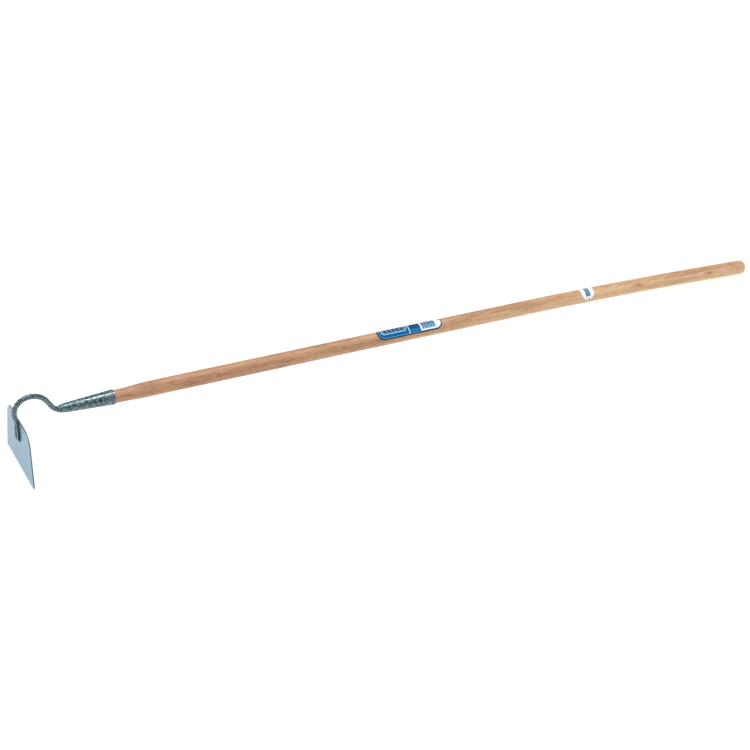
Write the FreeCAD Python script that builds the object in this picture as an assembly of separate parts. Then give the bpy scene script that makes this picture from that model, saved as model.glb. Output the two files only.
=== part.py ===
import FreeCAD, Part
import math
import os

# Draw hoe: a flared steel blade on a swan neck, a tapered socket and a long ash handle.
#
# Frame: +Z up, +X from the blade towards the grip end, Y across the blade.
# The hoe lies at rest on a floor at z = 0, on its cutting edge and on the rim of its grip end.
# It is modelled with the cutting edge at x = 0, and moved at the end so that the origin is below
# the middle of its length.

# Blade (mm, degrees). Heights on the blade are measured along its sloping outer face.
EDGE_WIDTH = 163.5
TOP_WIDTH = 128.5
BLADE_HEIGHT = 103.0
TOP_DIP = 1.0
BLADE_CORNER_RADIUS = 26.0
EDGE_CORNER_RADIUS = 3.0
BLADE_THICKNESS = 2.0
EDGE_THICKNESS = 0.5
BEVEL_HEIGHT = 7.0
BLADE_LEAN = 3.2

# Swan neck: a round bar, beaten to a low rounded tang where it lies on the blade. NECK_SQUARENESS
# gives its section's squareness at shares of the way from the tang to the round bar.
BAR_DIAMETER = 10.0
TANG_FOOT_HEIGHT = 61.0
TANG_TOP_HEIGHT = 89.3
TANG_FOOT_WIDTH = 16.0
TANG_TOP_WIDTH = 13.5
TANG_THICKNESS = 5.4
TANG_EDGE_RADIUS = 3.6
TANG_OVERLAP = 3.0
TANG_SQUARENESS = 2.6
NECK_SQUARENESS = ((0.0, 2.6), (0.4, 2.4), (0.75, 2.2), (1.0, 2.0), (1.2, 2.0))
SINK = 0.1
LEAD_IN_RADIUS = 80.0
ARCH_BACK_ANGLE = 10.0
ARCH_RADIUS = 30.0
ARCH_FRONT_RADIUS = 37.0
NECK_FALL_ANGLE = 60.0
DIP_RADIUS = 16.5
BAR_IN_SOCKET = 12.0
BEAD_RADIUS = 1.9

# Socket: rolled sheet, its seam underneath
SOCKET_MOUTH_X = 186.2
SOCKET_SLOPE = 2.25
SOCKET_LENGTH = 101.0
SOCKET_MOUTH_DIAMETER = 29.0
SOCKET_WAIST_DIAMETER = 18.2
SOCKET_SHOULDER_DIAMETER = 16.6
SOCKET_NOSE_DIAMETER = 14.2
SHOULDER_LENGTH = 11.0
SHOULDER_STEEPNESS = 0.25
SOCKET_WALL = 2.0
SEAM_WIDTH = 1.2
SEAM_START = 22.0
COLLAR_LENGTH = 8.5
COLLAR_MIDDLE_DIAMETER = 11.4
COLLAR_TIP_DIAMETER = 5.0

# Handle: distances along it are measured from the socket's mouth. SWELL gives its diameter at
# distances between the mouth and the end of the swell.
HANDLE_DIAMETER = 29.0
NOSE_GAP = 4.0
SWELL_LENGTH = 65.0
SWELL = ((12.0, 25.1), (27.0, 25.9), (41.0, 27.5), (53.0, 28.7))
HANDLE_SLOPE = 2.88
KINK_DISTANCE = 110.0
KINK_LENGTH = 60.0
STRAIGHT_LENGTH = 838.5
BEND_LENGTH = 464.5
BEND_ANGLE = 2.31
GRIP_LENGTH = 113.0
GRIP_CORNER_RADIUS = 11.0

# Nail through the socket's far side into the wood
NAIL_DISTANCE = 30.0
NAIL_DIAMETER = 3.6
NAIL_LENGTH = 19.0
NAIL_POINT = 5.0
NAIL_HEAD_DIAMETER = 8.0
NAIL_HEAD_HEIGHT = 2.0

# Printed labels, wrapped on the handle. Angles are from the top of the handle towards -Y.
FILM_THICKNESS = 0.2
PRODUCT_LABEL_START = 537.0
PRODUCT_LABEL_LENGTH = 142.0
PRODUCT_LABEL_WIDTH = 30.0
PRODUCT_LABEL_ANGLE = 16.0
STICKER_START = 1001.0
STICKER_LENGTH = 30.0
STICKER_WIDTH = 38.0
STICKER_ANGLE = 20.0
STICKER_SQUARENESS = 2.5

ACROSS = FreeCAD.Vector(0, 1, 0)
ORIGIN = FreeCAD.Vector(0, 0, 0)
NEAR = 0.01


def heading(degrees):
    """Unit vector in the XZ plane, turned from +X towards +Z."""
    angle = math.radians(degrees)
    return FreeCAD.Vector(math.cos(angle), 0, math.sin(angle))


def plane_point(x, z):
    return FreeCAD.Vector(x, 0, z)


def follow(start, degrees, segments):
    """Edges of a path in the XZ plane, and where it ends.

    Each segment is (length, turn): a straight run where turn is 0, or else an arc that turns
    the heading by that many degrees.
    """
    edges = []
    for length, turn in segments:
        if turn == 0:
            end = start + heading(degrees) * length
            edges.append(Part.LineSegment(start, end).toShape())
        else:
            chord = length * math.sin(math.radians(turn / 2)) / math.radians(turn / 2)
            half_chord = length * math.sin(math.radians(turn / 4)) / math.radians(turn / 2)
            middle = start + heading(degrees + turn / 4) * half_chord
            end = start + heading(degrees + turn / 2) * chord
            edges.append(Part.Arc(start, middle, end).toShape())
        start = end
        degrees += turn
    return edges, start, degrees


def arc_length(radius, turn):
    return radius * math.radians(abs(turn))


def frame_placement(point, degrees):
    """Placement that sends local X to +Y, local Y to the path's normal and local Z along it."""
    along = heading(degrees)
    normal = heading(degrees + 90)
    matrix = FreeCAD.Matrix(
        ACROSS.x, normal.x, along.x, point.x,
        ACROSS.y, normal.y, along.y, point.y,
        ACROSS.z, normal.z, along.z, point.z,
        0, 0, 0, 1)
    return FreeCAD.Placement(matrix)


def sweep_round(edges, start, degrees, radius):
    profile = Part.Wire(Part.Circle(ORIGIN, FreeCAD.Vector(0, 0, 1), radius).toShape())
    profile.Placement = frame_placement(start, degrees)
    return Part.Wire(edges).makePipeShell([profile], True, False)


def revolve_about(axis_point, degrees, edges):
    """Solid of revolution. The edges are drawn with X along the axis and Z as the radius."""
    face = Part.Face(Part.Wire(edges))
    solid = face.revolve(ORIGIN, FreeCAD.Vector(1, 0, 0), 360)
    solid = Part.Solid(solid) if solid.ShapeType == "Shell" else solid
    solid.rotate(ORIGIN, ACROSS, -degrees)
    solid.translate(axis_point)
    return solid


def chain(points):
    """Straight edges through the points, one after another."""
    return [Part.LineSegment(a, b).toShape() for a, b in zip(points[:-1], points[1:])]


# ---------------------------------------------------------------- blade

def blade_point(height, proud=0.0):
    """Point in the XZ plane at a height along the outer face, proud of it by the given amount."""
    up = heading(90 - BLADE_LEAN)
    outwards = heading(180 - BLADE_LEAN)
    lift = EDGE_THICKNESS * math.sin(math.radians(BLADE_LEAN))
    return up * height + outwards * proud + FreeCAD.Vector(0, 0, lift)


def edges_where(shape, test):
    """Edges of a shape whose end points all pass a test."""
    return [edge for edge in shape.Edges if all(test(vertex.Point) for vertex in edge.Vertexes)]


def set_on_blade_face(shape):
    """Move a shape drawn with the blade's outer face at x = 0 to where the blade leans."""
    shape.rotate(ORIGIN, ACROSS, BLADE_LEAN)
    shape.translate(blade_point(0))
    return shape


def make_blade():
    half_edge = EDGE_WIDTH / 2
    half_top = TOP_WIDTH / 2
    corners = [
        FreeCAD.Vector(0, half_edge, 0),
        FreeCAD.Vector(0, half_top, BLADE_HEIGHT),
        FreeCAD.Vector(0, 0, BLADE_HEIGHT - TOP_DIP),
        FreeCAD.Vector(0, -half_top, BLADE_HEIGHT),
        FreeCAD.Vector(0, -half_edge, 0),
    ]
    outline = Part.Face(Part.makePolygon(corners + corners[:1]))
    plate = outline.extrude(FreeCAD.Vector(BLADE_THICKNESS, 0, 0))

    for radius, half_width, height in ((BLADE_CORNER_RADIUS, half_top, BLADE_HEIGHT),
                                       (EDGE_CORNER_RADIUS, half_edge, 0)):
        for side in (1, -1):
            corner = FreeCAD.Vector(0, side * half_width, height)
            at_corner = edges_where(plate, lambda p: math.hypot(p.y - corner.y, p.z - corner.z) < NEAR)
            plate = plate.makeFillet(radius, at_corner)

    bevel = Part.Face(Part.makePolygon([
        FreeCAD.Vector(EDGE_THICKNESS, -EDGE_WIDTH, 0),
        FreeCAD.Vector(BLADE_THICKNESS, -EDGE_WIDTH, BEVEL_HEIGHT),
        FreeCAD.Vector(2 * BLADE_THICKNESS, -EDGE_WIDTH, BEVEL_HEIGHT),
        FreeCAD.Vector(2 * BLADE_THICKNESS, -EDGE_WIDTH, -1),
        FreeCAD.Vector(EDGE_THICKNESS, -EDGE_WIDTH, -1),
        FreeCAD.Vector(EDGE_THICKNESS, -EDGE_WIDTH, 0),
    ])).extrude(FreeCAD.Vector(0, 2 * EDGE_WIDTH, 0))
    return set_on_blade_face(plate.cut(bevel))


# ---------------------------------------------------------------- socket

def mouth_height():
    """Height of the middle of the socket's mouth, with the rim of the grip end on the floor."""
    _, end, degrees = follow(ORIGIN, -SOCKET_SLOPE, [(SWELL_LENGTH, 0)] + shaft_segments())
    flat = HANDLE_DIAMETER / 2 - GRIP_CORNER_RADIUS
    return flat * math.cos(math.radians(degrees)) + GRIP_CORNER_RADIUS - end.z


def socket_axis_point(distance):
    """Point on the socket's axis, at a distance back from its mouth towards the blade."""
    mouth = plane_point(SOCKET_MOUTH_X, mouth_height())
    return mouth + heading(180 - SOCKET_SLOPE) * distance


def socket_bore_radius(distance_from_nose):
    """Inside radius of the socket's cone, which the handle's nose fills."""
    taper = (SOCKET_MOUTH_DIAMETER - SOCKET_WAIST_DIAMETER) / 2 / (SOCKET_LENGTH - SHOULDER_LENGTH)
    outer = SOCKET_WAIST_DIAMETER / 2 + taper * (distance_from_nose - SHOULDER_LENGTH)
    return outer - SOCKET_WALL


def make_socket():
    bar = BAR_DIAMETER / 2
    nose = SOCKET_NOSE_DIAMETER / 2
    waist = SOCKET_WAIST_DIAMETER / 2
    mouth = SOCKET_MOUTH_DIAMETER / 2
    shoulder = [
        plane_point(0, nose),
        plane_point(SHOULDER_LENGTH / 2, SOCKET_SHOULDER_DIAMETER / 2),
        plane_point(SHOULDER_LENGTH, waist),
    ]
    taper = (mouth - waist) / (SOCKET_LENGTH - SHOULDER_LENGTH)
    curve = Part.BSplineCurve()
    curve.interpolate(Points=shoulder, InitialTangent=plane_point(1, SHOULDER_STEEPNESS),
                      FinalTangent=plane_point(1, taper))
    edges = [curve.toShape()]
    edges += chain([
        plane_point(SHOULDER_LENGTH, waist),
        plane_point(SOCKET_LENGTH, mouth),
        plane_point(SOCKET_LENGTH, mouth - SOCKET_WALL),
        plane_point(BAR_IN_SOCKET, socket_bore_radius(BAR_IN_SOCKET)),
        plane_point(BAR_IN_SOCKET, bar),
        plane_point(0, bar),
        plane_point(0, nose),
    ])
    socket = revolve_about(socket_axis_point(SOCKET_LENGTH), -SOCKET_SLOPE, edges)

    seam = Part.makeBox(SOCKET_LENGTH, SEAM_WIDTH, mouth + 1,
                        FreeCAD.Vector(SEAM_START, -SEAM_WIDTH / 2, -mouth - 1))
    seam.rotate(ORIGIN, ACROSS, SOCKET_SLOPE)
    seam.translate(socket_axis_point(SOCKET_LENGTH))
    return socket.cut(seam)


def make_collar(neck):
    """Weld that closes the socket's small end on the neck bar, which is already bending there."""
    nose = plane_point(0, SOCKET_NOSE_DIAMETER / 2)
    middle = plane_point(-COLLAR_LENGTH / 2, COLLAR_MIDDLE_DIAMETER / 2)
    tip = plane_point(-COLLAR_LENGTH, COLLAR_TIP_DIAMETER / 2)
    edges = [Part.Arc(tip, middle, nose).toShape()]
    edges += chain([nose, plane_point(0, 0), plane_point(-COLLAR_LENGTH, 0), tip])
    return revolve_about(socket_axis_point(SOCKET_LENGTH), -SOCKET_SLOPE, edges).cut(neck)


# ---------------------------------------------------------------- swan neck

def make_tang():
    """The beaten end of the bar: low, rounded on its outer side, wider towards its square foot."""
    half_foot = TANG_FOOT_WIDTH / 2
    half_top = TANG_TOP_WIDTH / 2
    outline = [
        FreeCAD.Vector(0, half_foot, TANG_FOOT_HEIGHT),
        FreeCAD.Vector(0, half_top, TANG_TOP_HEIGHT),
        FreeCAD.Vector(0, -half_top, TANG_TOP_HEIGHT),
        FreeCAD.Vector(0, -half_foot, TANG_FOOT_HEIGHT),
    ]
    face = Part.Face(Part.makePolygon(outline + outline[:1]))
    tang = face.extrude(FreeCAD.Vector(-TANG_THICKNESS, 0, 0))

    def on_rim(p):
        return abs(p.x + TANG_THICKNESS) < NEAR

    rim = [edge for edge in edges_where(tang, on_rim)
           if not all(abs(v.Point.z - TANG_TOP_HEIGHT) < NEAR for v in edge.Vertexes)]
    return set_on_blade_face(tang.makeFillet(TANG_EDGE_RADIUS, rim))


def flat_section(width, thickness, squareness, point, degrees):
    """Closed outline between an ellipse (squareness 2) and a rectangle, across the path."""
    points = []
    steps = 24
    for step in range(steps):
        angle = 2 * math.pi * step / steps
        x = math.copysign(abs(math.cos(angle)) ** (2 / squareness), math.cos(angle)) * width / 2
        y = math.copysign(abs(math.sin(angle)) ** (2 / squareness), math.sin(angle)) * thickness / 2
        points.append(FreeCAD.Vector(x, y, 0))
    curve = Part.BSplineCurve()
    curve.interpolate(Points=points, PeriodicFlag=True, Parameters=list(range(steps + 1)))
    wire = Part.Wire(curve.toShape())
    wire.Placement = frame_placement(point, degrees)
    return wire


def make_neck(blade):
    rise = 90 - BLADE_LEAN
    lead_turn = 90 + ARCH_BACK_ANGLE - rise
    lead_length = arc_length(LEAD_IN_RADIUS, lead_turn)
    tang_middle = TANG_THICKNESS / 2
    tang_top = blade_point(TANG_TOP_HEIGHT, tang_middle)

    # the change from the flattened tang to the round bar, sunk a little into both
    inside = blade_point(TANG_TOP_HEIGHT - TANG_OVERLAP, tang_middle)
    sections = [flat_section(TANG_TOP_WIDTH - SINK, TANG_THICKNESS - SINK, TANG_SQUARENESS, inside, rise)]
    for share, squareness in NECK_SQUARENESS:
        point, degrees = tang_top, rise
        if share > 0:
            _, point, degrees = follow(tang_top, rise, [(share * lead_length, share * lead_turn)])
        roundness = min(share, 1.0)
        width = TANG_TOP_WIDTH + roundness * (BAR_DIAMETER - TANG_TOP_WIDTH) - SINK
        thickness = TANG_THICKNESS + roundness * (BAR_DIAMETER - TANG_THICKNESS) - SINK
        sections.append(flat_section(width, thickness, squareness, point, degrees))
    change = Part.makeLoft(sections, True, False)
    _, bar_start, bar_heading = follow(tang_top, rise, [(lead_length, lead_turn)])

    # the round bar: up and over the arch, down, and into the socket
    arch = [
        (arc_length(ARCH_RADIUS, bar_heading), -bar_heading),
        (arc_length(ARCH_FRONT_RADIUS, NECK_FALL_ANGLE), -NECK_FALL_ANGLE),
    ]
    _, fall_start, _ = follow(bar_start, bar_heading, arch)
    axis_start = socket_axis_point(SOCKET_LENGTH)
    fall = heading(-NECK_FALL_ANGLE)
    axis = heading(-SOCKET_SLOPE)
    to_axis = axis_start - fall_start
    crossing = fall.x * axis.z - fall.z * axis.x
    fall_length = (to_axis.x * axis.z - to_axis.z * axis.x) / crossing
    corner = fall_start + fall * fall_length
    dip_turn = NECK_FALL_ANGLE - SOCKET_SLOPE
    tangent = DIP_RADIUS * math.tan(math.radians(dip_turn / 2))
    inner_end = socket_axis_point(SOCKET_LENGTH - BAR_IN_SOCKET)
    segments = arch + [
        (fall_length - tangent, 0),
        (arc_length(DIP_RADIUS, dip_turn), dip_turn),
        (corner.distanceToPoint(inner_end) - tangent, 0),
    ]
    edges, _, _ = follow(bar_start, bar_heading, segments)
    bar = sweep_round(edges, bar_start, bar_heading, BAR_DIAMETER / 2)
    return bar.fuse([change, make_tang()]).cut(blade)


def make_bead(first, last, neighbours):
    """Weld bead: a round-ended rod along a crease, trimmed to the pieces that it joins."""
    along = last - first
    bead = Part.makeCylinder(BEAD_RADIUS, along.Length, first, along)
    bead = bead.fuse([Part.makeSphere(BEAD_RADIUS, first), Part.makeSphere(BEAD_RADIUS, last)])
    for neighbour in neighbours:
        bead = bead.cut(neighbour)
    return bead.removeSplitter()


def make_welds(blade, neck):
    """One bead down each side of the tang and one across its foot."""
    side = {}
    for name, sign in (("left", 1), ("right", -1)):
        foot = blade_point(TANG_FOOT_HEIGHT) + ACROSS * (sign * TANG_FOOT_WIDTH / 2)
        top = blade_point(TANG_TOP_HEIGHT - 2 * BEAD_RADIUS) + ACROSS * (sign * TANG_TOP_WIDTH / 2)
        side[name] = make_bead(foot, top, [blade, neck])
    reach = ACROSS * (TANG_FOOT_WIDTH / 2)
    foot = blade_point(TANG_FOOT_HEIGHT)
    side["foot"] = make_bead(foot - reach, foot + reach, [blade, neck, side["left"], side["right"]])
    return side


# ---------------------------------------------------------------- handle

def shaft_segments():
    kink = HANDLE_SLOPE - SOCKET_SLOPE
    return [
        (KINK_DISTANCE - KINK_LENGTH / 2 - SWELL_LENGTH, 0),
        (KINK_LENGTH, -kink),
        (STRAIGHT_LENGTH - KINK_DISTANCE - KINK_LENGTH / 2, 0),
        (BEND_LENGTH, -BEND_ANGLE),
        (GRIP_LENGTH - GRIP_CORNER_RADIUS, 0),
    ]


def shaft(radius):
    """The part of the handle that has one diameter, and where it ends."""
    start = socket_axis_point(-SWELL_LENGTH)
    edges, end, degrees = follow(start, -SOCKET_SLOPE, shaft_segments())
    return sweep_round(edges, start, -SOCKET_SLOPE, radius), end, degrees


def make_handle():
    full = HANDLE_DIAMETER / 2
    nose_start = BAR_IN_SOCKET + NOSE_GAP
    mouth = socket_bore_radius(SOCKET_LENGTH)
    swell_end = SOCKET_LENGTH + SWELL_LENGTH
    between = [plane_point(SOCKET_LENGTH + distance, diameter / 2) for distance, diameter in SWELL]
    swell = Part.BSplineCurve()
    swell.interpolate(
        Points=[plane_point(SOCKET_LENGTH, mouth), *between, plane_point(swell_end, full)],
        InitialTangent=plane_point(1, 0),
        FinalTangent=plane_point(1, 0))
    edges = [swell.toShape()]
    edges += chain([
        plane_point(swell_end, full),
        plane_point(swell_end, 0),
        plane_point(nose_start, 0),
        plane_point(nose_start, socket_bore_radius(nose_start)),
        plane_point(SOCKET_LENGTH, mouth),
    ])
    nose = revolve_about(socket_axis_point(SOCKET_LENGTH), -SOCKET_SLOPE, edges)
    body, end, degrees = shaft(full)

    flat = full - GRIP_CORNER_RADIUS
    diagonal = GRIP_CORNER_RADIUS * math.sqrt(0.5)
    edges = [Part.Arc(plane_point(0, full), plane_point(diagonal, flat + diagonal),
                      plane_point(GRIP_CORNER_RADIUS, flat)).toShape()]
    edges += chain([
        plane_point(GRIP_CORNER_RADIUS, flat),
        plane_point(GRIP_CORNER_RADIUS, 0),
        plane_point(0, 0),
        plane_point(0, full),
    ])
    dome = revolve_about(end, degrees, edges)
    return body.fuse([nose, dome])


# ---------------------------------------------------------------- nail

def make_nail(socket):
    """Domed nail, driven in along -Y. Returns the nail and the shank that needs a hole."""
    place = socket_axis_point(NAIL_DISTANCE)
    surface = socket_bore_radius(SOCKET_LENGTH - NAIL_DISTANCE) + SOCKET_WALL
    seat = place + ACROSS * surface
    # the shank starts inside the head, so that its hole goes right through the sloping wall
    inside_head = seat + ACROSS * (NAIL_HEAD_HEIGHT / 2)
    point_start = seat - ACROSS * (NAIL_LENGTH - NAIL_POINT)
    shank_length = inside_head.distanceToPoint(point_start)
    shank = Part.makeCylinder(NAIL_DIAMETER / 2, shank_length, inside_head, -ACROSS)
    point = Part.makeCone(NAIL_DIAMETER / 2, 0, NAIL_POINT, point_start, -ACROSS)
    shank = shank.fuse(point)
    cap = (NAIL_HEAD_DIAMETER / 2) ** 2 + NAIL_HEAD_HEIGHT ** 2
    cap_radius = cap / (2 * NAIL_HEAD_HEIGHT)
    head = Part.makeSphere(cap_radius, seat + ACROSS * (NAIL_HEAD_HEIGHT - cap_radius))
    keep = Part.makeCylinder(NAIL_HEAD_DIAMETER / 2, 2 * NAIL_HEAD_HEIGHT,
                             seat - ACROSS * (NAIL_HEAD_HEIGHT / 2), ACROSS)
    head = head.common(keep).cut(socket)
    return head.fuse(shank).removeSplitter(), shank


# ---------------------------------------------------------------- labels

def handle_frame(distance):
    """Centre of the handle at a distance from the socket's mouth, and the heading there."""
    segments = [(SWELL_LENGTH, 0)] + shaft_segments()
    place = socket_axis_point(0)
    degrees = -SOCKET_SLOPE
    for length, turn in segments:
        part = min(length, distance)
        if part <= 0:
            break
        _, place, degrees = follow(place, degrees, [(part, turn * part / length)])
        distance -= part
    return place, degrees


def wrapped_film(start, length, angle, outline, film):
    """Label cut from a film round the handle.

    outline gives points (along, around) on the label laid flat, in mm from its middle. Seen
    square on, a point that lies `around` from the middle is at radius * sin(around / radius).
    """
    place, degrees = handle_frame(start + length / 2)
    radius = HANDLE_DIAMETER / 2
    points = [FreeCAD.Vector(radius * math.sin(around / radius), along, 0) for along, around in outline]
    prism = Part.Face(Part.makePolygon(points + points[:1])).extrude(FreeCAD.Vector(0, 0, 2 * radius))
    # local X goes to -Y, local Y along the handle and local Z away from its top
    along, away = heading(degrees), heading(degrees + 90)
    matrix = FreeCAD.Matrix(
        0, along.x, away.x, place.x,
        -1, along.y, away.y, place.y,
        0, along.z, away.z, place.z,
        0, 0, 0, 1)
    prism.Placement = FreeCAD.Placement(matrix)
    prism.rotate(place, along, angle)
    return film.common(prism)


def stadium(length, width):
    """Outline with straight sides and half-round ends."""
    steps = 16
    points = []
    for side in (1, -1):
        for step in range(steps + 1):
            turn = math.pi * step / steps
            along = side * (length / 2 - width / 2 + width / 2 * math.sin(turn))
            points.append((along, side * width / 2 * math.cos(turn)))
    return points


def rounded_oval(length, width, squareness):
    steps = 48
    points = []
    for step in range(steps):
        turn = 2 * math.pi * step / steps
        along = math.copysign(abs(math.cos(turn)) ** (2 / squareness), math.cos(turn))
        around = math.copysign(abs(math.sin(turn)) ** (2 / squareness), math.sin(turn))
        points.append((along * length / 2, around * width / 2))
    return points


# ---------------------------------------------------------------- the whole hoe

blade = make_blade()
socket = make_socket()
neck = make_neck(blade)
welds = make_welds(blade, neck)
collar = make_collar(neck)
handle = make_handle()
nail, shank = make_nail(socket)
socket = socket.cut(shank)
handle = handle.cut(shank)

wrap, _, _ = shaft(HANDLE_DIAMETER / 2 + FILM_THICKNESS)
core, _, _ = shaft(HANDLE_DIAMETER / 2)
film = wrap.cut(core)
product_label = wrapped_film(
    PRODUCT_LABEL_START, PRODUCT_LABEL_LENGTH, PRODUCT_LABEL_ANGLE,
    stadium(PRODUCT_LABEL_LENGTH, PRODUCT_LABEL_WIDTH), film)
sticker = wrapped_film(
    STICKER_START, STICKER_LENGTH, STICKER_ANGLE,
    rounded_oval(STICKER_LENGTH, STICKER_WIDTH, STICKER_SQUARENESS), film)

nodes = {
    "blade": blade,
    "swan_neck": neck,
    "neck_weld_left": welds["left"],
    "neck_weld_right": welds["right"],
    "neck_weld_foot": welds["foot"],
    "socket": socket,
    "socket_weld": collar,
    "handle": handle,
    "socket_nail": nail,
    "product_label": product_label,
    "size_sticker": sticker,
}

whole = Part.makeCompound(list(nodes.values())).optimalBoundingBox(False, False)
to_middle = FreeCAD.Vector(-(whole.XMin + whole.XMax) / 2, 0, 0)
os.makedirs("parts", exist_ok=True)
for name, shape in nodes.items():
    shape.translate(to_middle)
    shape.exportStep("parts/" + name + ".step")
    box = shape.optimalBoundingBox(False, False)
    print("%-16s solids %d valid %s volume %.1f x %.1f..%.1f y %.1f..%.1f z %.3f..%.1f" % (
        name, len(shape.Solids), shape.isValid(), shape.Volume,
        box.XMin, box.XMax, box.YMin, box.YMax, box.ZMin, box.ZMax))
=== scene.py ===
import math

import bmesh
import bpy
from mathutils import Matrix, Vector


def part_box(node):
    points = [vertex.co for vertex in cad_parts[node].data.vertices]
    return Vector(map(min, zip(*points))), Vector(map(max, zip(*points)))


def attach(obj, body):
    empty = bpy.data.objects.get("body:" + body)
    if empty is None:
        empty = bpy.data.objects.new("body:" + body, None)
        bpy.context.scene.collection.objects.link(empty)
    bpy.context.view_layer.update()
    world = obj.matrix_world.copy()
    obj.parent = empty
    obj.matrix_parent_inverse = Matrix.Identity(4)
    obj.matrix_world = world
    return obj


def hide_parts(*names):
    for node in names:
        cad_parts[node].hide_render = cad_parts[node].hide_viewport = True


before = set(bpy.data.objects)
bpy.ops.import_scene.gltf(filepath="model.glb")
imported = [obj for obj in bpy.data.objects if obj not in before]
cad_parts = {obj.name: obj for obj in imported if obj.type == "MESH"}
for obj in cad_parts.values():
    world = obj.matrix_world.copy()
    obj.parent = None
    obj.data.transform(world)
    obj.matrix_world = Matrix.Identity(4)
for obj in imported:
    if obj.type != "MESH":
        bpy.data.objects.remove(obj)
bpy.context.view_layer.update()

# Draw hoe, lying on a white floor on its cutting edge and on the rim of its grip end.
# +X runs from the blade to the grip end, +Z is up. Lengths are in metres.

# Camera
CAMERA_AZIMUTH = math.radians(-26.21)
CAMERA_ELEVATION = math.radians(33.28)
CAMERA_DISTANCE = 3.521
CAMERA_LENS = 88.8  # millimetres, as is the sensor
CAMERA_SENSOR = 36
CAMERA_CLIP_END = 200
CAMERA_AIM = Vector((-0.1236, -0.0956, 0.060))

# Light
WORLD_HORIZON = 0.20
WORLD_ZENITH = 0.78
BACKDROP_WHITE = 0.90
SOFTBOXES = (
    # name, direction that the light comes from, strength, spread, whether it casts shadows
    ("softbox_above", Vector((0.10, -0.10, 0.99)), 0.55, math.radians(50), True),
    ("strip_above", Vector((0.144, 0.028, 0.99)), 0.92, math.radians(6.5), False),
    ("strip_left", Vector((-0.43, 0.14, 0.89)), 0.38, math.radians(11), False),
    ("strip_low_left", Vector((-0.75, 0.12, 0.65)), 0.42, math.radians(12), False),
    ("strip_side", Vector((-0.95, 0.056, 0.31)), 0.42, math.radians(12), False),
    ("softbox_side", Vector((-0.95, -0.16, 0.28)), 0.12, math.radians(40), True),
)

# Floor
FLOOR_RADIUS = 60.0
FLOOR_SIDES = 96
FLOOR_WHITE = 0.78
FLOOR_GLOW = 0.22

# Hoe
BLADE_LEAN = math.radians(3.2)
BLADE_NORMAL = (math.cos(BLADE_LEAN), 0.0, -math.sin(BLADE_LEAN))
HANDLE_RADIUS = 0.0145


# ---------------------------------------------------------------- shader helpers

class Number:
    """A number inside a shader. Arithmetic on it adds the Math nodes."""

    def __init__(self, tree, socket):
        self.tree = tree
        self.socket = socket

    def apply(self, operation, *others, clamp=False):
        node = self.tree.nodes.new("ShaderNodeMath")
        node.operation = operation
        node.use_clamp = clamp
        for entry, value in zip(node.inputs, (self,) + others):
            feed(self.tree, entry, value)
        return Number(self.tree, node.outputs["Value"])

    def __add__(self, other):
        return self.apply("ADD", other)

    def __sub__(self, other):
        return self.apply("SUBTRACT", other)

    def __rsub__(self, other):
        return self.apply("MULTIPLY_ADD", -1.0, other)

    def __mul__(self, other):
        return self.apply("MULTIPLY", other)

    def __truediv__(self, other):
        return self.apply("DIVIDE", other)

    __radd__ = __add__

    def clamp(self):
        return self.apply("ADD", 0.0, clamp=True)

    def at_least(self, other):
        return self.apply("MAXIMUM", other)

    def at_most(self, other):
        return self.apply("MINIMUM", other)

    def size(self):
        return self.apply("ABSOLUTE")

    def step(self, low, high):
        """0 below low, 1 above high, smooth between."""
        node = self.tree.nodes.new("ShaderNodeMapRange")
        node.interpolation_type = "SMOOTHSTEP"
        feed(self.tree, node.inputs["Value"], self)
        node.inputs["From Min"].default_value = low
        node.inputs["From Max"].default_value = high
        return Number(self.tree, node.outputs["Result"])


def feed(tree, entry, value):
    """Put a constant on a socket, or link a Number or another socket to it."""
    if isinstance(value, Number):
        tree.links.new(value.socket, entry)
    elif isinstance(value, bpy.types.NodeSocket):
        tree.links.new(value, entry)
    else:
        entry.default_value = value


def hypotenuse(a, b):
    return (a * a + b * b).apply("SQRT")


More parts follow.
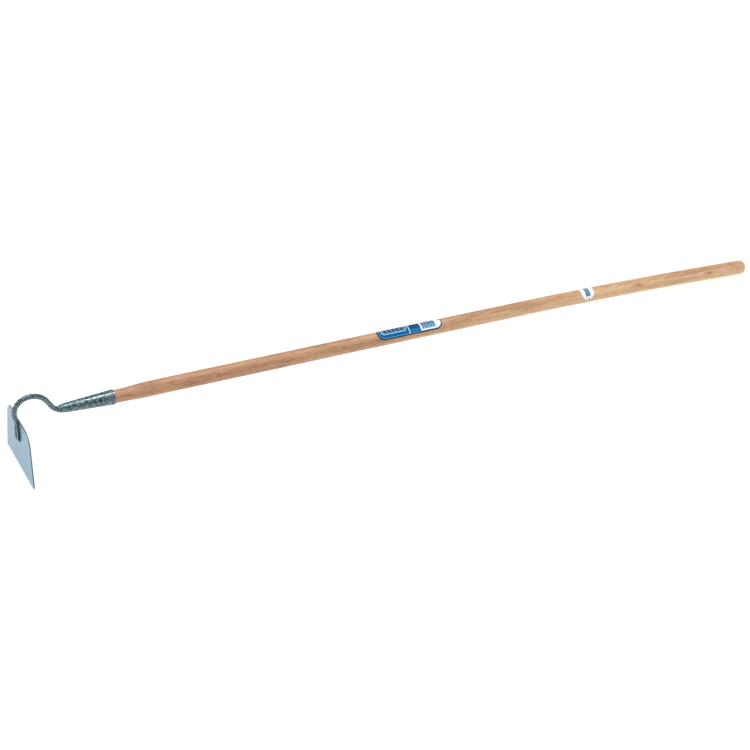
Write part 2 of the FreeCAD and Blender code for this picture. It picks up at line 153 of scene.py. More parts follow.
class Surface:
    """A material under construction."""

    def __init__(self, name, **constants):
        self.material = bpy.data.materials.new(name)
        self.material.use_nodes = True
        self.tree = self.material.node_tree
        self.shader = self.tree.nodes["Principled BSDF"]
        for socket, value in constants.items():
            self.shader.inputs[socket.replace("_", " ")].default_value = value
        self.position = self.node("ShaderNodeTexCoord").outputs["Object"]

    def node(self, kind, **settings):
        made = self.tree.nodes.new(kind)
        for key, value in settings.items():
            setattr(made, key, value)
        return made

    def axes(self):
        split = self.node("ShaderNodeSeparateXYZ")
        feed(self.tree, split.inputs[0], self.position)
        return [Number(self.tree, output) for output in split.outputs]

    def vector(self, x, y, z):
        joined = self.node("ShaderNodeCombineXYZ")
        for entry, value in zip(joined.inputs, (x, y, z)):
            feed(self.tree, entry, value)
        return joined.outputs[0]

    def noise(self, vector, scale, detail, roughness=0.5):
        made = self.node("ShaderNodeTexNoise")
        feed(self.tree, made.inputs["Vector"], vector)
        made.inputs["Scale"].default_value = scale
        made.inputs["Detail"].default_value = detail
        made.inputs["Roughness"].default_value = roughness
        return Number(self.tree, made.outputs["Fac"])

    def cells(self, vector, size):
        """Distance from the middle of the nearest round cell, in cell sizes."""
        made = self.node("ShaderNodeTexVoronoi", feature="F1")
        feed(self.tree, made.inputs["Vector"], vector)
        made.inputs["Scale"].default_value = 1.0 / size
        return Number(self.tree, made.outputs["Distance"])

    def ramp(self, value, stops):
        """Colour picked from (position, colour) stops."""
        made = self.node("ShaderNodeValToRGB")
        feed(self.tree, made.inputs["Fac"], value)
        elements = made.color_ramp.elements
        while len(elements) < len(stops):
            elements.new(0.5)
        for element, (position, colour) in zip(elements, stops):
            element.position = position
            element.color = (*colour, 1.0)
        return made.outputs["Color"]

    def blend(self, amount, first, second):
        """The first colour at amount 0 and the second at amount 1."""
        made = self.node("ShaderNodeMix", data_type="RGBA")
        feed(self.tree, made.inputs[0], amount)
        for entry, value in ((made.inputs[6], first), (made.inputs[7], second)):
            from_node = isinstance(value, bpy.types.NodeSocket)
            feed(self.tree, entry, value if from_node else (*value, 1.0))
        return made.outputs[2]

    def bump(self, height, strength, distance):
        made = self.node("ShaderNodeBump")
        made.inputs["Strength"].default_value = strength
        made.inputs["Distance"].default_value = distance
        feed(self.tree, made.inputs["Height"], height)
        return made.outputs["Normal"]

    def set(self, **values):
        """Set the shader's inputs, named with _ for each space, to constants or Numbers."""
        for socket, value in values.items():
            feed(self.tree, self.shader.inputs[socket.replace("_", " ")], value)


def paint(material, name):
    """Give a CAD node this material."""
    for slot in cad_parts[name].material_slots:
        slot.material = material


# ---------------------------------------------------------------- hammered paint

# pools; a slope says how far from a pool's middle, in cell sizes, it starts to fall, and where
# the valley's floor begins
POOL_SIZE = 0.0029
POOL_SLOPE = (0.20, 0.74)
SMALL_POOL_SIZE = POOL_SIZE / 2.3
SMALL_POOL_SLOPE = (0.15, 0.66)
WAVER = 0.0018
WAVER_SCALE = 260.0
WAVER_OFFSETS = (0.0, 3.7, 9.1)
MOTTLE_SCALE = 150.0
FLAKE_SCALE = 3200.0

# shares in the paint's tone and height
POOL_TONE, SMALL_POOL_TONE, MOTTLE_TONE, FLAKE_TONE = 0.70, 0.30, 0.8, 0.35
POOL_HEIGHT, SMALL_POOL_HEIGHT = 0.8, 0.2
PAINT_ROUGHNESS, MOTTLE_ROUGHNESS = 0.30, 0.18
PAINT_RELIEF = 0.75

# the blade: painted shade on its cut edges and rims, and painted shade on either side of the
# tang, widening upwards from its foot
PAINTED_SHADE = (0.03, 0.055, 0.06)
EDGE_SHADE_STRENGTH = 0.9
EDGE_FACING = (0.80, 0.97)
RIM_WIDTH = 0.0013
BLADE_SHADE_COLOUR = (0.09, 0.16, 0.185)
BLADE_SHADE_STRENGTH = 0.42
BLADE_SHADE_REACH = 0.014
BLADE_SHADE_SPREAD = 0.42
BLADE_SHADE_SOFTNESS = 0.006
TANG_FOOT = 0.062
BLADE_SHADE_START = (TANG_FOOT - 0.005, TANG_FOOT + 0.004)

# the tang: painted shade below its top, and a painted highlight on its rounded edges
TANG_TOP = 0.098
TANG_FADE = (TANG_TOP - 0.012, TANG_TOP + 0.006)
TANG_SHADE_STRENGTH = 0.92
ARRIS_HIGHLIGHT = (0.62, 0.72, 0.76)
ARRIS_STARTS, ARRIS_ENDS = (0.42, 0.54), (0.60, 0.74)


def facing(surface, axis, normal=None):
    """How nearly the surface, or another normal of it, faces along this axis, either way."""
    if normal is None:
        normal = surface.node("ShaderNodeNewGeometry").outputs["Normal"]
    product = surface.node("ShaderNodeVectorMath", operation="DOT_PRODUCT")
    feed(surface.tree, product.inputs[0], normal)
    product.inputs[1].default_value = axis
    return Number(surface.tree, product.outputs["Value"]).size()


def hammered_paint(name, pool_colour, valley_colour, relief, coat=1.0, gloss_relief=0.30,
                   metallic=0.62, rim_tint=(0.30, 0.45, 0.52), coat_ior=1.5,
                   sheet_axis=None, tang_axis=None):
    """Glossy hammer finish: round pools of metallic paint with dark, lower valleys between them.

    relief is the depth of the valleys in metres. coat is the weight of the gloss over the paint,
    coat_ior its refractive index, and gloss_relief how much of the relief shows in it. rim_tint
    is the paint's colour where it is seen at a grazing angle, and metallic how metallic it is.
    sheet_axis is the normal of a sheet, whose cut edges and rims then get painted shade, and
    which also gets painted shade on either side of the tang, widening upwards from its foot.
    tang_axis is the normal of the face that is beaten flat low on the neck bar: there the face
    gets painted shade and less gloss, and its rounded edges get a painted highlight.
    """
    surface = Surface(name, Metallic=metallic, Coat_Weight=coat, Coat_Roughness=0.06,
                      Coat_IOR=coat_ior, Specular_Tint=(*rim_tint, 1.0), Specular_IOR_Level=0.3)
    x, y, z = surface.axes()
    shifts = [surface.noise(surface.vector(x + offset, y, z), WAVER_SCALE, 1.0) - 0.5
              for offset in WAVER_OFFSETS]
    bent = surface.vector(*(axis + shift * WAVER for axis, shift in zip((x, y, z), shifts)))
    pool = 1.0 - surface.cells(bent, POOL_SIZE).step(*POOL_SLOPE)
    small = 1.0 - surface.cells(bent, SMALL_POOL_SIZE).step(*SMALL_POOL_SLOPE)
    mottle = surface.noise(surface.position, MOTTLE_SCALE, 3.0)
    flake = surface.noise(surface.position, FLAKE_SCALE, 1.0)
    tone = (pool * POOL_TONE + small * SMALL_POOL_TONE
            + (mottle - 0.5) * MOTTLE_TONE + (flake - 0.5) * FLAKE_TONE).clamp()
    colour = surface.blend(tone, valley_colour, pool_colour)
    if sheet_axis is not None:
        # painted shade on the blade on either side of the tang, widening upwards from its foot
        blade_shade = ((z - TANG_FOOT) * BLADE_SHADE_SPREAD + BLADE_SHADE_REACH - y.size()) / BLADE_SHADE_SOFTNESS
        blade_shade = blade_shade.clamp() * z.step(*BLADE_SHADE_START)
        colour = surface.blend(blade_shade * BLADE_SHADE_STRENGTH, colour, BLADE_SHADE_COLOUR)
        # painted shade on the sheet's cut edges and rims, found from the bevelled normal
        rim = surface.node("ShaderNodeBevel", samples=4)
        rim.inputs["Radius"].default_value = RIM_WIDTH
        edge = 1.0 - facing(surface, sheet_axis, rim.outputs["Normal"]).step(*EDGE_FACING)
        colour = surface.blend(edge * EDGE_SHADE_STRENGTH, colour, PAINTED_SHADE)
    if tang_axis is not None:
        # painted shade on the tang's flat face, with its gloss cut, and a painted highlight on
        # its rounded edges
        low = 1.0 - z.step(*TANG_FADE)
        face = facing(surface, tang_axis)
        arris_highlight = face.step(*ARRIS_STARTS) - face.step(*ARRIS_ENDS)
        colour = surface.blend(low * TANG_SHADE_STRENGTH, colour, PAINTED_SHADE)
        colour = surface.blend(low * arris_highlight, colour, ARRIS_HIGHLIGHT)
        surface.set(Coat_Weight=coat - low * (TANG_SHADE_STRENGTH * coat))
    surface.set(Base_Color=colour, Roughness=PAINT_ROUGHNESS + mottle * MOTTLE_ROUGHNESS)
    height = pool * POOL_HEIGHT + small * SMALL_POOL_HEIGHT
    surface.set(Normal=surface.bump(height, PAINT_RELIEF, relief))
    surface.set(Coat_Normal=surface.bump(height, gloss_relief, relief))
    return surface.material


# ---------------------------------------------------------------- neck bar and weld beads

FORGED_VOXEL = 0.0005
FORGED_SMOOTHING = 6
BEAD_VOXEL = 0.00022
BEAD_SMOOTHING = 3
RIPPLE_PITCH = 0.0017
RIPPLE_DEPTH = 0.00045
RIPPLE_BOW = 350.0
RIPPLE_SHARPNESS = 1.6


def keep_largest(mesh):
    """Delete the specks that remeshing leaves beside the piece."""
    shape = bmesh.new()
    shape.from_mesh(mesh)
    left = set(shape.verts)
    islands = []
    while left:
        island = set()
        edge_of_island = {left.pop()}
        while edge_of_island:
            vertex = edge_of_island.pop()
            island.add(vertex)
            near = {edge.other_vert(vertex) for edge in vertex.link_edges} & left
            left -= near
            edge_of_island |= near
        islands.append(island)
    islands.sort(key=len)
    specks = [vertex for island in islands[:-1] for vertex in island]
    bmesh.ops.delete(shape, geom=specks, context="VERTS")
    shape.to_mesh(mesh)
    shape.free()


def even_copy(node, suffix, voxel, rounds):
    """A new piece with a CAD node's shape in small even faces, its edges a little rounded."""
    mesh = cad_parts[node].data.copy()
    piece = bpy.data.objects.new(node + suffix, mesh)
    bpy.context.scene.collection.objects.link(piece)
    remesh = piece.modifiers.new("even", "REMESH")
    remesh.mode = "VOXEL"
    remesh.voxel_size = voxel
    smooth = piece.modifiers.new("smooth", "SMOOTH")
    smooth.iterations = rounds
    depsgraph = bpy.context.evaluated_depsgraph_get()
    settled = bpy.data.meshes.new_from_object(piece.evaluated_get(depsgraph))
    piece.modifiers.clear()
    piece.data = settled
    bpy.data.meshes.remove(mesh)
    keep_largest(settled)
    return piece


def stand_for(piece, node, material):
    """Show this painted piece in place of a CAD node."""
    piece.data.materials.clear()
    piece.data.materials.append(material)
    for face in piece.data.polygons:
        face.use_smooth = True
    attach(piece, "root")
    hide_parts(node)


def forged_bar(node, material):
    """The neck bar, with the soft edges that forging leaves where it is beaten flat."""
    stand_for(even_copy(node, "_bar", FORGED_VOXEL, FORGED_SMOOTHING), node, material)


def weld_bead(node, material):
    """The node's bead, with the overlapping scales that a weld has, cut into its outer side."""
    low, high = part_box(node)
    middle = (low + high) / 2
    reach = high - low
    up_blade = Vector((math.sin(BLADE_LEAN), 0, math.cos(BLADE_LEAN)))
    along = Vector((0, 1, 0)) if reach.y > reach.z else up_blade
    outwards = -Vector(BLADE_NORMAL)
    across = along.cross(outwards)
    bead = even_copy(node, "_bead", BEAD_VOXEL, BEAD_SMOOTHING)
    shape = bmesh.new()
    shape.from_mesh(bead.data)
    shape.normal_update()
    for vertex in shape.verts:
        offset = vertex.co - middle
        place = offset.dot(along) + RIPPLE_BOW * offset.dot(across) ** 2
        scale = (place / RIPPLE_PITCH) % 1.0
        outer = max(0.0, vertex.normal.dot(outwards))
        vertex.co -= vertex.normal * (RIPPLE_DEPTH * outer * scale ** RIPPLE_SHARPNESS)
    shape.to_mesh(bead.data)
    shape.free()
    stand_for(bead, node, material)


# ---------------------------------------------------------------- wood

# where the handle's bow is measured, in shares of its length, and the curve node's scale for it
BOW_STATIONS = (0.10, 0.35, 0.60, 0.80, 0.97)
CURVE_SCALE = 5

# growth rings round a pith outside the handle, which runs at a slant to it
RING_WIDTH = 0.0034
PITH_SIDE, PITH_RISE = 0.021, 0.034
SLANT_SIDE, SLANT_RISE = 0.012, 0.02
SWAY_STRETCH, SWAY_SCALE = (0.08, 0.7), 45.0
RING_SWAY, KNOT_SWAY = 0.007, 0.004
LATE_START, LATE_END = (0.35, 0.92), (0.94, 1.0)
HEARTWOOD_EDGE = (0.0385, 0.0425)
HEARTWOOD_START = (0.0, 0.25)

# noise along the grain: its scale along the handle as a share of that across, its scale across,
# detail and roughness; for the first four, also how much of it goes into the tone
STREAKS = (0.03, 420.0, 3.0, 0.6), 2.0
DASHES = (0.13, 560.0, 2.0, 0.6), 2.0
BANDS = (0.03, 110.0, 2.0, 0.5), 1.2
CLOUDS = (0.35, 38.0, 2.0, 0.5), 1.0
FIBRES = (0.025, 1500.0, 3.0, 0.6)
PORES = (0.06, 2600.0, 1.0, 0.5)
PORE_LIMIT = (0.60, 0.70)

# the tone is the share of dark wood: least past the product label, and more in late wood
# and in heartwood; the top of the handle past its middle is darker too
BASE_TONE = 0.27
MIDDLE_DROP, MIDDLE_REACH = 0.20, (-0.05, 0.25)
GRIP_RISE, GRIP_REACH = 0.05, (0.45, 0.70)
LATE_TONE, HEARTWOOD_TONE, TOP_TONE = 0.20, 0.35, 0.36
TOP_HEIGHT, TOP_START = (0.0080, 0.0135), (-0.25, 0.10)

# colours of pale and of dark wood, each near the socket and near the grip
PALER_REACH = (-0.45, 0.50)
LIGHT_WOOD = ((0.550, 0.295, 0.158), (0.75, 0.50, 0.285))
DARK_WOOD = ((0.285, 0.128, 0.062), (0.44, 0.225, 0.11))
FIBRE_COLOUR = (0.30, 0.15, 0.08)
PORE_COLOUR = (0.22, 0.11, 0.06)
KNOT_HALO = (0.50, 0.22, 0.11)
KNOT_HEART = (0.30, 0.11, 0.06)
FIBRE_STRENGTH, PORE_STRENGTH, HALO_STRENGTH, HEART_STRENGTH = 0.8, 0.45, 0.4, 0.6
FIBRE_HEIGHT, LATE_HEIGHT, PORE_DEPTH = 0.6, 0.25, 0.7
WOOD_ROUGHNESS, TONE_ROUGHNESS = 0.42, 0.16
WOOD_RELIEF = 0.00012

KNOTS = (
    # along, angle from the top towards -Y, length, width
    (0.5265, math.radians(55), 0.011, 0.0035),
    (0.7040, math.radians(61), 0.010, 0.0035),
    (-0.150, math.radians(230), 0.010, 0.0040),
)


def handle_middle(x):
    """Centre of the handle's section at x, found by looking down and up at it."""
    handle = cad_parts["handle"]
    found = []
    for height, down in ((1.0, -1.0), (-1.0, 1.0)):
        _, place, _, _ = handle.ray_cast(Vector((x, 0, height)), Vector((0, 0, down)))
        found.append(place.z)
    return sum(found) / 2


def handle_axes(surface):
    """Along the handle, towards -Y, and up from the middle line of the bowed handle."""
    low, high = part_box("handle")
    reach = high.x - low.x
    x, y, z = surface.axes()
    stations = [low.x + share * reach for share in BOW_STATIONS]
    curve = surface.node("ShaderNodeFloatCurve")
    points = curve.mapping.curves[0].points
    heights = [handle_middle(station) for station in stations]
    while len(points) < len(stations):
        points.new(0.5, 0.5)
    for point, station, height in zip(points, stations, heights):
        point.location = ((station - low.x) / reach, height * CURVE_SCALE)
    curve.mapping.update()
    feed(surface.tree, curve.inputs["Value"], (x - low.x) / reach)
    middle = Number(surface.tree, curve.outputs["Value"]) / CURVE_SCALE
    return x, y * -1.0, z - middle


def knot(surface, along, side, up, place, angle, length, width):
    """How close a point is to a knot: 1 in its middle, 0 outside it.

    place is the knot's place along the handle, and angle its angle from the top towards -Y.
    """
    across = HANDLE_RADIUS * math.sin(angle)
    rise = HANDLE_RADIUS * math.cos(angle)
    a = (along - place) / length
    around = hypotenuse(side - across, up - rise) / width
    return 1.0 - hypotenuse(a, around).step(0.2, 1.0)


def ash(name):
    """Turned ash: growth rings cut at a slant, fine fibres, open pores, a few small knots."""
    surface = Surface(name, Coat_Weight=0.15, Coat_Roughness=0.35)
    along, side, up = handle_axes(surface)

    def grain(stretch, scale, detail, roughness):
        return surface.noise(surface.vector(along * stretch, side, up), scale, detail, roughness)

    # growth rings, pushed aside by the knots
    swirl = 0.0
    for place, angle, length, width in KNOTS:
        swirl = knot(surface, along, side, up, place, angle, 5 * length, 3 * width) + swirl
    lengthwise, crosswise = SWAY_STRETCH
    sway_place = surface.vector(along * lengthwise, side * crosswise, up * crosswise)
    sway = surface.noise(sway_place, SWAY_SCALE, 2.0) - 0.5
    from_pith = hypotenuse(side + along * SLANT_SIDE + PITH_SIDE,
                           up + along * SLANT_RISE - PITH_RISE)
    depth = from_pith + sway * RING_SWAY + swirl * KNOT_SWAY
    phase = (depth / RING_WIDTH).apply("FRACT")
    late = phase.step(*LATE_START) - phase.step(*LATE_END)
    heartwood = (1.0 - depth.step(*HEARTWOOD_EDGE)) * along.step(*HEARTWOOD_START)

    # redder and darker towards the socket, paler towards the grip
    paler = along.step(*PALER_REACH)
    light = surface.blend(paler, *LIGHT_WOOD)
    dark = surface.blend(paler, *DARK_WOOD)
    tone = late * LATE_TONE
    for figure, share in (STREAKS, DASHES, BANDS, CLOUDS):
        tone = tone + (grain(*figure) - 0.5) * share
    darker_top = up.step(*TOP_HEIGHT) * along.step(*TOP_START) * TOP_TONE
    base = BASE_TONE - along.step(*MIDDLE_REACH) * MIDDLE_DROP
    base = base + along.step(*GRIP_REACH) * GRIP_RISE
    tone = (tone + heartwood * HEARTWOOD_TONE + darker_top + base).clamp()
    colour = surface.blend(tone, light, dark)

    fibre = grain(*FIBRES)
    pore = grain(*PORES).step(*PORE_LIMIT) * (1.0 - late)
    colour = surface.blend((fibre - 0.5).size() * FIBRE_STRENGTH, colour, FIBRE_COLOUR)
    colour = surface.blend(pore * PORE_STRENGTH, colour, PORE_COLOUR)
    for place, angle, length, width in KNOTS:
        heart = knot(surface, along, side, up, place, angle, length, width)
        halo = knot(surface, along, side, up, place, angle, 2.6 * length, 2.0 * width)
        colour = surface.blend(halo * HALO_STRENGTH, colour, KNOT_HALO)
        colour = surface.blend(heart * HEART_STRENGTH, colour, KNOT_HEART)
    height = fibre * FIBRE_HEIGHT + late * LATE_HEIGHT - pore * PORE_DEPTH
    surface.set(Base_Color=colour, Roughness=WOOD_ROUGHNESS + tone * TONE_ROUGHNESS)
    surface.set(Normal=surface.bump(height, 0.4, WOOD_RELIEF))
    return surface.material


# ---------------------------------------------------------------- labels

def label_axes(surface, node):
    """Flat coordinates on a label: along the handle, and around it from the top towards -Y."""
    low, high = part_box(node)
    middle_x = (low.x + high.x) / 2
    start, end = handle_middle(low.x), handle_middle(high.x)
    slope = math.atan2(end - start, high.x - low.x)
    middle = (start + end) / 2
    x, y, z = surface.axes()
    dx, dz = x - middle_x, z - middle
    along = dx * math.cos(slope) + dz * math.sin(slope)
    up = dz * math.cos(slope) - dx * math.sin(slope)
    around = (y * -1.0).apply("ARCTAN2", up) * HANDLE_RADIUS
    return along, around


def box_distance(along, around, centre, half, corner=0.0):
    """Distance outside a rounded rectangle on a label, negative inside it."""
    a = (along - centre[0]).size() - (half[0] - corner)
    b = (around - centre[1]).size() - (half[1] - corner)
    outside = hypotenuse(a.at_least(0.0), b.at_least(0.0))
    return outside + a.apply("MAXIMUM", b).at_most(0.0) - corner


def inside(distance, soft=0.0001):
    """1 where the distance is below 0, fading over a narrow band."""
    return 1.0 - distance.step(-soft, soft)


def from_middle(value, pitch):
    """Distance to the middle of the pitch that a value falls in, in pitches."""
    return ((value / pitch).apply("FRACT") - 0.5).size()


def leaf_distance(along, around, tilt, length, width):
    """Distance outside a pointed leaf with its middle at the origin."""
    a = along * math.cos(tilt) + around * math.sin(tilt)
    b = around * math.cos(tilt) - along * math.sin(tilt)
    half, bulge = length / 2, width / 2
    radius = (half * half + bulge * bulge) / (2 * bulge)
    return hypotenuse(a, b.size() + (radius - bulge)) - radius


# Product label. Places and half sizes are along the handle and around it, from the label's
# middle, which is turned from the handle's top towards -Y. Beside a pitch, a half width is a
# share of that pitch.
LABEL_TURN = math.radians(16)
LABEL_HALF = (0.071, 0.015)
LABEL_CORNER = 0.0149
NAVY_RIM = 0.0027
PALE_RIM = 0.0037
NAVY = (0.006, 0.018, 0.035)
PALE_BLUE = (0.14, 0.52, 0.78)
FIELD_SPLIT = (0.0, 0.008)
FIELD_COLOURS = ((0.001, 0.045, 0.16), (0.001, 0.105, 0.33))

PANEL_PLACE = (-0.0350, -0.0043)
PANEL_HALF = (0.0265, 0.0080)
PANEL_CORNER = 0.0055
PANEL_LINE = 0.0013
PANEL_LINE_COLOUR = (0.24, 0.66, 0.90)
PANEL_COLOUR = (0.12, 0.27, 0.39)
SPRIG_MARGIN = 0.0016
SPRIG_COLOUR = (0.003, 0.015, 0.07)
STEM_RISE = 0.0030
STEM_HALF = 0.00045
LEAF_PITCH = 0.0088
LEAF_OFFSET = 0.0030
LEAF_TILT, LEAF_LENGTH, LEAF_WIDTH = math.radians(38), 0.0080, 0.0038

BLOCK_MIDDLE = 0.0098
BLOCK_HALF = 0.0118
BLOCK_SPLITS = ((0.0035, 0.0055), (0.0085, 0.0105))
BLOCK_COLOURS = ((0.001, 0.070, 0.19), (0.004, 0.18, 0.46), (0.001, 0.085, 0.28))
DASH_PITCH, DASH_HALF = 0.0034, 0.32
DASH_ROW_PITCH, DASH_ROW_HALF = 0.0036, 0.20
DASHES_HALF = (0.0085, 0.0056)
DASHES_RISE = 0.0010
DASH_COLOUR = (0.003, 0.022, 0.085)
GAP_PLACE = -0.0030
GAP_HALF = 0.0008
GAP_COLOUR = (0.60, 0.85, 0.95)

END_START = 0.0220
END_RIM = 0.0035
END_COLOUR = (0.88, 0.92, 0.95)
BARS_PLACE = (0.0400, -0.0020)
BARS_HALF = (0.0148, 0.0105)
BAR_PITCH, BAR_HALF = 0.0037, 0.46
CUT_PITCH, CUT_HALF = 0.0061, 0.47
BAR_FADE = (-0.003, 0.007)
BAR_COLOURS = ((0.002, 0.060, 0.18), (0.04, 0.27, 0.48))
RING_PLACE = (0.0610, -0.001)
RING_RADIUS, RING_HALF = 0.0022, 0.0005
RING_COLOUR = (0.45, 0.50, 0.56)


def product_label(name):
    """Blue pill-shaped label: a sprig on a panel, a dark block, and a white end with bars."""
    surface = Surface(name, Roughness=0.45, Specular_IOR_Level=0.15,
                      Coat_Weight=0.05, Coat_Roughness=0.15)
    along, around = label_axes(surface, "product_label")
    around = around - HANDLE_RADIUS * LABEL_TURN
    rim = box_distance(along, around, (0, 0), LABEL_HALF, LABEL_CORNER)
    field = surface.blend(around.step(*FIELD_SPLIT), *FIELD_COLOURS)
    colour = surface.blend(inside(rim + PALE_RIM), PALE_BLUE, field)

    # panel with a sprig of leaves
    panel = box_distance(along, around, PANEL_PLACE, PANEL_HALF, PANEL_CORNER)
    colour = surface.blend(inside(panel - PANEL_LINE), colour, PANEL_LINE_COLOUR)
    colour = surface.blend(inside(panel), colour, PANEL_COLOUR)
    turn = ((along - PANEL_PLACE[0]) / LEAF_PITCH + 0.5).apply("FRACT")
    from_leaf = turn * LEAF_PITCH - LEAF_PITCH / 2
    from_stem = (around + STEM_RISE).size()
    leaf = leaf_distance(from_leaf, from_stem - LEAF_OFFSET, LEAF_TILT, LEAF_LENGTH, LEAF_WIDTH)
    sprig = leaf.at_most(from_stem - STEM_HALF)
    colour = surface.blend(inside(sprig) * inside(panel + SPRIG_MARGIN), colour, SPRIG_COLOUR)

    # block with rows of dashes
    from_block = (along - BLOCK_MIDDLE).size()
    block = inside(from_block - BLOCK_HALF) * inside(rim + PALE_RIM)
    block_colour = surface.blend(around.step(*BLOCK_SPLITS[0]), *BLOCK_COLOURS[:2])
    block_colour = surface.blend(around.step(*BLOCK_SPLITS[1]), block_colour, BLOCK_COLOURS[2])
    dashes = inside(from_middle(along, DASH_PITCH) - DASH_HALF, 0.04)
    dashes = dashes * inside(from_middle(around, DASH_ROW_PITCH) - DASH_ROW_HALF, 0.05)
    dashes = dashes * inside(from_block - DASHES_HALF[0])
    dashes = dashes * inside((around + DASHES_RISE).size() - DASHES_HALF[1])
    block_colour = surface.blend(dashes, block_colour, DASH_COLOUR)
    colour = surface.blend(block, colour, block_colour)
    gap = inside((along - GAP_PLACE).size() - GAP_HALF) * inside(rim + NAVY_RIM)
    colour = surface.blend(gap, colour, GAP_COLOUR)

    # white end with uneven bars, paler towards their feet, and a ring
    end = inside(END_START - along) * inside(rim + END_RIM)
    colour = surface.blend(end, colour, END_COLOUR)
    bars = inside(from_middle(along, BAR_PITCH) - BAR_HALF, 0.03)
    bars = bars * inside(from_middle(along, CUT_PITCH) - CUT_HALF, 0.02)
    bars = bars * inside(box_distance(along, around, BARS_PLACE, BARS_HALF))
    ink = surface.blend(around.step(*BAR_FADE), *BAR_COLOURS)
    colour = surface.blend(bars, colour, ink)
    from_ring = hypotenuse(along - RING_PLACE[0], around - RING_PLACE[1]) - RING_RADIUS
    colour = surface.blend(inside(from_ring.size() - RING_HALF), colour, RING_COLOUR)

    colour = surface.blend(inside(rim + NAVY_RIM), NAVY, colour)
    surface.set(Base_Color=colour)
    return surface.material


# Size sticker. Places are along the handle from the sticker's middle, and around the handle
# from its top.
STICKER_PLACE = (-0.0015, HANDLE_RADIUS * math.radians(20))
STICKER_WHITE = (0.90, 0.92, 0.94)
STICKER_BLUE = (0.06, 0.15, 0.27)
STICKER_PALE = (0.16, 0.33, 0.52)
STICKER_PANEL = ((0.0055, 0.0118), 0.0008)
STICKER_PRINT = ((0.0040, 0.0100), 0.0005)
CHEVRON_PITCH, CHEVRON_HALF, CHEVRON_SLOPE = 0.0042, 0.22, 1.4
MARK_PLACE = (0.0005, STICKER_PLACE[1] + 0.0165)
MARK_HALF = (0.0007, 0.0016)
MARK_COLOUR = (0.12, 0.11, 0.11)


def size_sticker(name):
    """Small white sticker: pale chevrons on a blue panel, and a dark mark below it."""
    surface = Surface(name, Roughness=0.3, Coat_Weight=0.4, Coat_Roughness=0.1)
    along, around = label_axes(surface, "size_sticker")
    panel = box_distance(along, around, STICKER_PLACE, *STICKER_PANEL)
    colour = surface.blend(inside(panel), STICKER_WHITE, STICKER_BLUE)
    across = (around - STICKER_PLACE[1]).size()
    chevron = across + (along - STICKER_PLACE[0]).size() * CHEVRON_SLOPE
    stripe = from_middle(chevron, CHEVRON_PITCH) - CHEVRON_HALF
    printed = box_distance(along, around, STICKER_PLACE, *STICKER_PRINT)
    colour = surface.blend(inside(printed) * inside(stripe, 0.03), colour, STICKER_PALE)
    mark = box_distance(along, around, MARK_PLACE, MARK_HALF)
    colour = surface.blend(inside(mark), colour, MARK_COLOUR)
    surface.set(Base_Color=colour)
    return surface.material


# ---------------------------------------------------------------- zinc nail

SPANGLE_SCALE = 900.0
SPANGLE_COLOURS = ((0.3, (0.42, 0.43, 0.45)), (0.7, (0.66, 0.67, 0.68)))


def zinc(name):
    """Zinc plating with faint spangles."""
    surface = Surface(name, Metallic=1.0)
    spangle = surface.noise(surface.position, SPANGLE_SCALE, 2.0)
    surface.set(Base_Color=surface.ramp(spangle, SPANGLE_COLOURS))
    surface.set(Roughness=0.28 + spangle * 0.25, Normal=surface.bump(spangle, 0.2, 0.0001))
    return surface.material


# ---------------------------------------------------------------- stage

def make_floor():
    bpy.ops.mesh.primitive_circle_add(vertices=FLOOR_SIDES, radius=FLOOR_RADIUS, fill_type="NGON")
    floor = bpy.context.object
    floor.name = "floor"
    surface = Surface("floor_white", Roughness=0.9)
    surface.set(Base_Color=(*[FLOOR_WHITE] * 3, 1.0), Specular_IOR_Level=0.1)
    surface.set(Emission_Color=(1.0, 1.0, 1.0, 1.0), Emission_Strength=FLOOR_GLOW)
    floor.data.materials.append(surface.material)


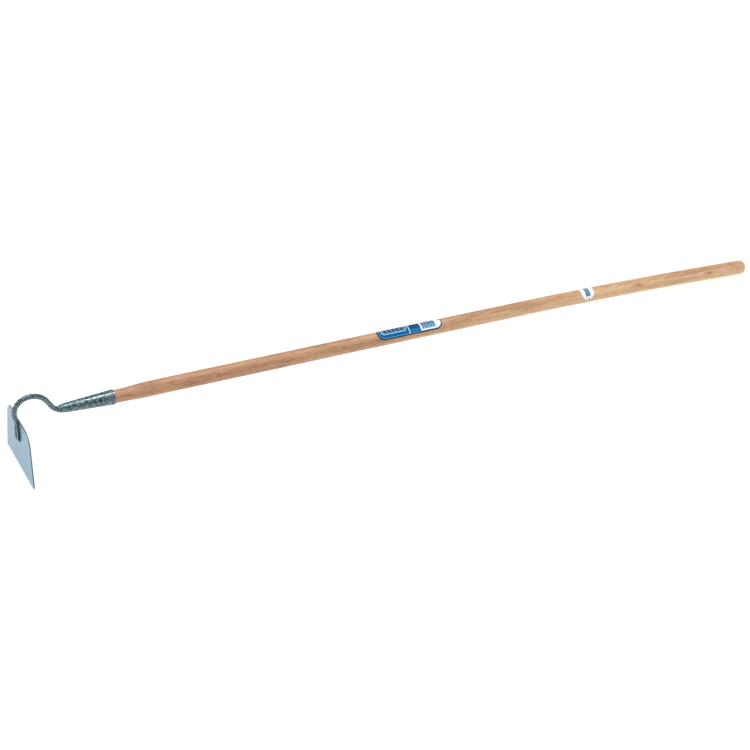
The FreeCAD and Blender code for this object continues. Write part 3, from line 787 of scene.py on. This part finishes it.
def make_light():
    world = bpy.data.worlds.new("studio")
    bpy.context.scene.world = world
    world.use_nodes = True
    tree = world.node_tree
    background = tree.nodes["Background"]
    direction = tree.nodes.new("ShaderNodeTexCoord").outputs["Generated"]
    split = tree.nodes.new("ShaderNodeSeparateXYZ")
    tree.links.new(direction, split.inputs[0])
    rise = Number(tree, split.outputs["Z"]).clamp()
    glow = rise * (WORLD_ZENITH - WORLD_HORIZON) + WORLD_HORIZON
    feed(tree, background.inputs["Color"], glow)

    # the backdrop itself is near white, and what lights the hoe is dimmer
    backdrop = tree.nodes.new("ShaderNodeBackground")
    backdrop.inputs["Color"].default_value = (*[BACKDROP_WHITE] * 3, 1)
    seen = tree.nodes.new("ShaderNodeLightPath").outputs["Is Camera Ray"]
    mix = tree.nodes.new("ShaderNodeMixShader")
    tree.links.new(seen, mix.inputs["Fac"])
    tree.links.new(background.outputs[0], mix.inputs[1])
    tree.links.new(backdrop.outputs[0], mix.inputs[2])
    tree.links.new(mix.outputs[0], tree.nodes["World Output"].inputs["Surface"])

    for name, towards, strength, spread, shadow in SOFTBOXES:
        softbox = bpy.data.lights.new(name, "SUN")
        softbox.energy = strength
        softbox.angle = spread
        softbox.use_shadow = shadow
        lamp = bpy.data.objects.new(name, softbox)
        bpy.context.scene.collection.objects.link(lamp)
        lamp.rotation_mode = "QUATERNION"
        lamp.rotation_quaternion = towards.to_track_quat("Z", "Y")


def make_camera():
    data = bpy.data.cameras.new("camera")
    data.lens = CAMERA_LENS
    data.sensor_width = CAMERA_SENSOR
    data.clip_end = CAMERA_CLIP_END
    camera = bpy.data.objects.new("camera", data)
    bpy.context.scene.collection.objects.link(camera)
    back = Vector((
        math.sin(CAMERA_AZIMUTH) * math.cos(CAMERA_ELEVATION),
        -math.cos(CAMERA_AZIMUTH) * math.cos(CAMERA_ELEVATION),
        math.sin(CAMERA_ELEVATION)))
    camera.location = CAMERA_AIM + back * CAMERA_DISTANCE
    camera.rotation_mode = "QUATERNION"
    camera.rotation_quaternion = (-back).to_track_quat("-Z", "Y")
    bpy.context.scene.camera = camera


bpy.context.scene.view_settings.view_transform = "Standard"

steel_paint = hammered_paint(
    "hammered_paint_steel", (0.205, 0.335, 0.360), (0.005, 0.026, 0.032), 0.00040)
neck_paint = hammered_paint(
    "hammered_paint_neck", (0.160, 0.275, 0.300), (0.006, 0.028, 0.034), 0.00026,
    gloss_relief=0.08, coat_ior=1.6, tang_axis=BLADE_NORMAL)
# the neck's weld beads are painted much darker than the steel: painted shade in the creases
# around the tang
shaded_weld_paint = hammered_paint(
    "hammered_paint_weld_painted_shade", (0.014, 0.042, 0.050), (0.004, 0.016, 0.020), 0.00022,
    coat=0.05, metallic=0.4, rim_tint=(0.12, 0.22, 0.26))
# painted light: the blade's paint is a lighter, bluer copy of the steel's, standing for the
# bright floor it reflects at a grazing angle
lit_blade_paint = hammered_paint(
    "hammered_paint_blade_painted_light", (0.340, 0.445, 0.53), (0.225, 0.315, 0.39), 0.00022,
    coat=0.3, rim_tint=(0.55, 0.75, 0.90), sheet_axis=BLADE_NORMAL)
paint(steel_paint, "socket")
paint(lit_blade_paint, "blade")
forged_bar("swan_neck", neck_paint)
for name in ("neck_weld_left", "neck_weld_right", "neck_weld_foot"):
    weld_bead(name, shaded_weld_paint)
weld_bead("socket_weld", steel_paint)
paint(ash("ash_wood"), "handle")
paint(product_label("label_print"), "product_label")
paint(size_sticker("sticker_print"), "size_sticker")
paint(zinc("zinc_plate"), "socket_nail")

make_floor()
make_light()
make_camera()
